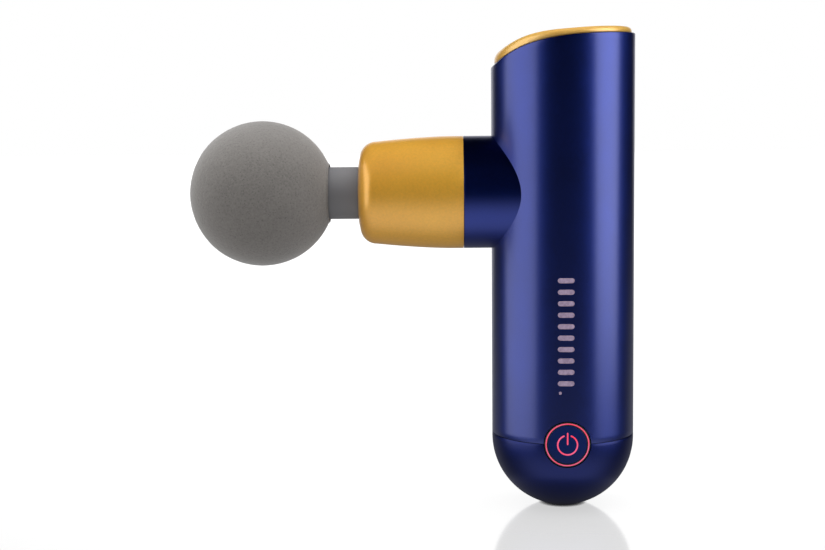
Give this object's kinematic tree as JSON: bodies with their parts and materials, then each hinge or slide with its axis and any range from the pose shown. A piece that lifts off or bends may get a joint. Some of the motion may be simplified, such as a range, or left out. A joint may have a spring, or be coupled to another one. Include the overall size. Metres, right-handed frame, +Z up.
{
  "type": "massage gun",
  "caption": "Handheld percussion massager: a round-ended handle with a slanted gold lid, a short barrel and a foam ball head on a push-in stem.",
  "frame": {"origin": "on the handle's axis, in the small flat under its round lower end", "axes": "+Z up along the handle, -X along the barrel towards the foam ball, -Y out of the power button"},
  "size_m": [0.1435, 0.0468, 0.1544],
  "materials": {
    "navy_anodised": "satin navy anodised aluminium",
    "gold_anodised": "satin gold anodised aluminium",
    "black_rubber": "matt",
    "dark_plastic": "matt",
    "bronze": "sintered",
    "steel": "turned",
    "grey_plastic": "satin",
    "foam": "matt closed-cell foam",
    "bare_aluminium": "machined",
    "copper_winding": "laminated core with enamelled copper",
    "magnet": "nickel plated",
    "cell_wrap": "heat-shrink sleeve over a steel can",
    "circuit_board": "solder mask",
    "button_navy": "smooth",
    "red_light": "translucent, lit",
    "wire_sleeve": "smooth"
  },
  "bodies": {
    "housing": {"body_tube": "navy_anodised", "dome_cap": "navy_anodised", "top_lid": "gold_anodised", "barrel_collar": "navy_anodised", "nose_cone": "gold_anodised", "nose_seal": "black_rubber", "guide_housing": "dark_plastic", "guide_bush": "bronze", "collar_screw_left": "steel", "collar_screw_right": "steel", "drive_frame": "bare_aluminium", "motor_base": "bare_aluminium", "stator": "copper_winding", "lower_bearing": "steel", "upper_bearing": "steel", "motor_screw_1": "steel", "motor_screw_2": "steel", "motor_screw_3": "steel", "motor_screw_4": "steel", "battery_cell_1": "cell_wrap", "battery_cell_2": "cell_wrap", "battery_cell_3": "cell_wrap", "battery_holder_lower": "dark_plastic", "battery_holder_upper": "dark_plastic", "nickel_strip_lower": "steel", "nickel_strip_upper": "steel", "control_board": "circuit_board", "usb_receptacle": "steel", "switch_board": "circuit_board", "tact_switch": "dark_plastic", "button_ring": "red_light", "board_screw_1": "steel", "board_screw_2": "steel", "motor_cable": "wire_sleeve", "battery_lead": "wire_sleeve"},
    "rotor": {"rotor_bell": "steel", "magnet_ring": "magnet", "motor_shaft": "steel", "crank_disc": "steel", "crank_pin": "steel"},
    "rod": {"connecting_rod": "bare_aluminium", "big_end_bearing": "steel", "wrist_pin": "steel"},
    "piston": {"piston": "bare_aluminium"},
    "head": {"head_stem": "grey_plastic", "head_o_ring": "black_rubber", "foam_ball": "foam"},
    "button": {"button_cap": "button_navy"}
  },
  "joints": [
    {"name": "rotor_spin", "type": "hinge", "parent": "housing", "child": "rotor", "pos_m": [0, 0, 0.1022], "axis": [0, 0, 1], "continuous": true},
    {"name": "rod_pivot", "type": "hinge", "parent": "rotor", "child": "rod", "pos_m": [-0.0035, 0, 0.1022], "axis": [0, 0, 1], "continuous": true},
    {"name": "piston_slide", "type": "slide", "parent": "housing", "child": "piston", "axis": [1, 0, 0], "range_m": [0, 0.007]},
    {"name": "head_pull", "type": "slide", "parent": "piston", "child": "head", "axis": [-1, 0, 0], "range_m": [0, 0.018]},
    {"name": "button_press", "type": "slide", "parent": "housing", "child": "button", "axis": [0, 1, 0], "range_m": [0, 0.0006], "stiffness_N_per_m": 900, "springref_m": -0.0003}
  ],
  "couplings": [
    {"joint": "rod_pivot", "follows": "rotor_spin", "ratio": -1}
  ]
}
